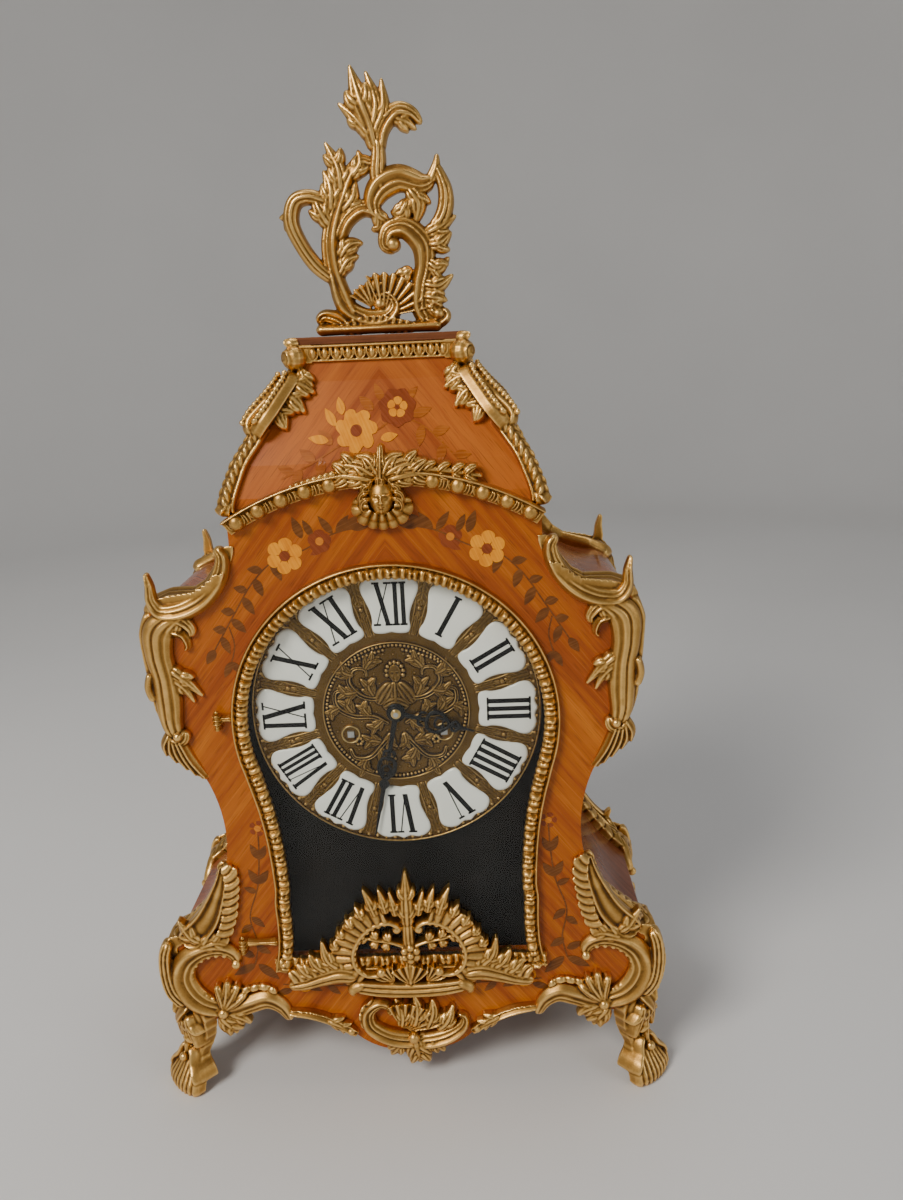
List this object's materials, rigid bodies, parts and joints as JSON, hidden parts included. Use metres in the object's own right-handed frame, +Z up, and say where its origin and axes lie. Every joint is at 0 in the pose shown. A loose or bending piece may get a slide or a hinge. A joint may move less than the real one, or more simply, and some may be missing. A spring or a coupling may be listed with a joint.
{
  "type": "mantel clock",
  "caption": "Waisted veneered mantel clock on cast feet with bell-shaped hood, pierced finial, hinged glazed door, enamel cartouche dial, hands and a key-wound two-train movement.",
  "frame": {"origin": "on the ground at the middle of the footprint of the four toes", "axes": "+Z up, -Y to the front where the dial faces, +X to the right as seen from the front"},
  "size_m": [0.3454, 0.1634, 0.6402],
  "materials": {
    "veneer": "polished",
    "side_veneer": "polished",
    "hood_veneer": "polished",
    "plain_wood": "satin",
    "gilt": "cast, antiqued",
    "plain_brass": "polished",
    "dial_brass": "embossed, dark lacquer",
    "steel": "bright",
    "glass": "clear",
    "black_board": "satin black",
    "enamel": "glossy white enamel",
    "black_hands": "satin black"
  },
  "bodies": {
    "case": {"front_panel": "veneer", "side_panel_left": "side_veneer", "side_panel_right": "side_veneer", "back_panel": "side_veneer", "hood_top_board": "side_veneer", "hood_shell": "hood_veneer", "base_board": "plain_wood", "neck_board": "plain_wood", "foot_mount_front_right": "gilt", "foot_mount_front_left": "gilt", "foot_mount_back_right": "gilt", "foot_mount_back_left": "gilt", "shoulder_mount_front_right": "gilt", "shoulder_mount_front_left": "gilt", "shoulder_mount_back_right": "gilt", "shoulder_mount_back_left": "gilt", "hood_corner_mount_front_right": "gilt", "hood_corner_mount_front_left": "gilt", "hood_corner_mount_back_right": "gilt", "hood_corner_mount_back_left": "gilt", "arch_moulding": "gilt", "hood_moulding": "gilt", "arch_mask": "gilt", "apron_rails": "gilt", "apron_ornament": "gilt", "finial": "gilt", "door_hinge_pins": "plain_brass", "rear_hinge_pins": "plain_brass", "movement_front_plate": "plain_brass", "movement_back_plate": "plain_brass", "movement_pillars": "plain_brass", "escapement_platform": "plain_brass", "bell": "plain_brass", "bell_post": "steel", "dial_backing_board": "black_board", "dial_plate": "dial_brass", "dial_centre": "dial_brass", "dial_dividers": "dial_brass", "numeral_cartouches": "enamel"},
    "front_door": {"door_bezel": "gilt", "door_glass": "glass", "gallery_ornament": "gilt", "door_hinge_arms": "plain_brass"},
    "rear_door": {"rear_door": "plain_wood", "rear_door_knob": "plain_brass", "rear_hinge_knuckles": "plain_brass"},
    "minute_hand": {"centre_arbor": "steel", "minute_hand": "black_hands", "hand_nut": "plain_brass"},
    "hour_hand": {"hour_wheel": "plain_brass", "hour_hand": "black_hands"},
    "minute_wheel": {"minute_wheel": "plain_brass"},
    "time_barrel": {"time_barrel": "plain_brass"},
    "strike_barrel": {"strike_barrel": "plain_brass"},
    "time_winder": {"time_winding_arbor": "steel"},
    "strike_winder": {"strike_winding_arbor": "steel"},
    "strike_pin_wheel": {"strike_pin_wheel": "steel"},
    "balance_wheel": {"balance_wheel": "plain_brass"},
    "strike_hammer": {"strike_hammer": "steel"}
  },
  "joints": [
    {"name": "front_door_hinge", "type": "hinge", "parent": "case", "child": "front_door", "pos_m": [-0.1085, -0.0693, 0.19], "axis": [0, 0, -1], "range_deg": [0, 100]},
    {"name": "rear_door_hinge", "type": "hinge", "parent": "case", "child": "rear_door", "pos_m": [-0.089, 0.0693, 0.21], "axis": [0, 0, 1], "range_deg": [0, 95]},
    {"name": "time_barrel_turn", "type": "hinge", "parent": "case", "child": "time_barrel", "pos_m": [-0.029, 0, 0.252], "axis": [0, -1, 0], "continuous": true},
    {"name": "minute_hand_turn", "type": "hinge", "parent": "case", "child": "minute_hand", "pos_m": [0, 0, 0.266], "axis": [0, 1, 0], "continuous": true},
    {"name": "hour_hand_turn", "type": "hinge", "parent": "case", "child": "hour_hand", "pos_m": [0, 0, 0.266], "axis": [0, 1, 0], "continuous": true},
    {"name": "minute_wheel_turn", "type": "hinge", "parent": "case", "child": "minute_wheel", "pos_m": [0.00771, 0, 0.25681], "axis": [0, -1, 0], "continuous": true},
    {"name": "strike_barrel_turn", "type": "hinge", "parent": "case", "child": "strike_barrel", "pos_m": [0.029, 0, 0.252], "axis": [0, -1, 0], "continuous": true},
    {"name": "strike_pin_wheel_turn", "type": "hinge", "parent": "case", "child": "strike_pin_wheel", "pos_m": [0.029, 0, 0.2842], "axis": [0, 1, 0], "continuous": true},
    {"name": "time_winding", "type": "hinge", "parent": "case", "child": "time_winder", "pos_m": [-0.029, 0, 0.252], "axis": [0, 1, 0], "continuous": true},
    {"name": "strike_winding", "type": "hinge", "parent": "case", "child": "strike_winder", "pos_m": [0.029, 0, 0.252], "axis": [0, 1, 0], "continuous": true},
    {"name": "balance_swing", "type": "hinge", "parent": "case", "child": "balance_wheel", "pos_m": [-0.017, -0.023, 0.325], "axis": [0, 0, 1], "range_deg": [-150, 150], "stiffness_Nm_per_rad": 0.00002},
    {"name": "hammer_lift", "type": "hinge", "parent": "case", "child": "strike_hammer", "pos_m": [0.048, 0, 0.266], "axis": [0, 1, 0], "range_deg": [0, 14], "stiffness_Nm_per_rad": 0.02, "springref_deg": -17.19}
  ],
  "couplings": [
    {"joint": "minute_hand_turn", "follows": "time_barrel_turn", "ratio": 6},
    {"joint": "hour_hand_turn", "follows": "time_barrel_turn", "ratio": 0.5},
    {"joint": "minute_wheel_turn", "follows": "time_barrel_turn", "ratio": 2},
    {"joint": "strike_pin_wheel_turn", "follows": "strike_barrel_turn", "ratio": 6}
  ]
}
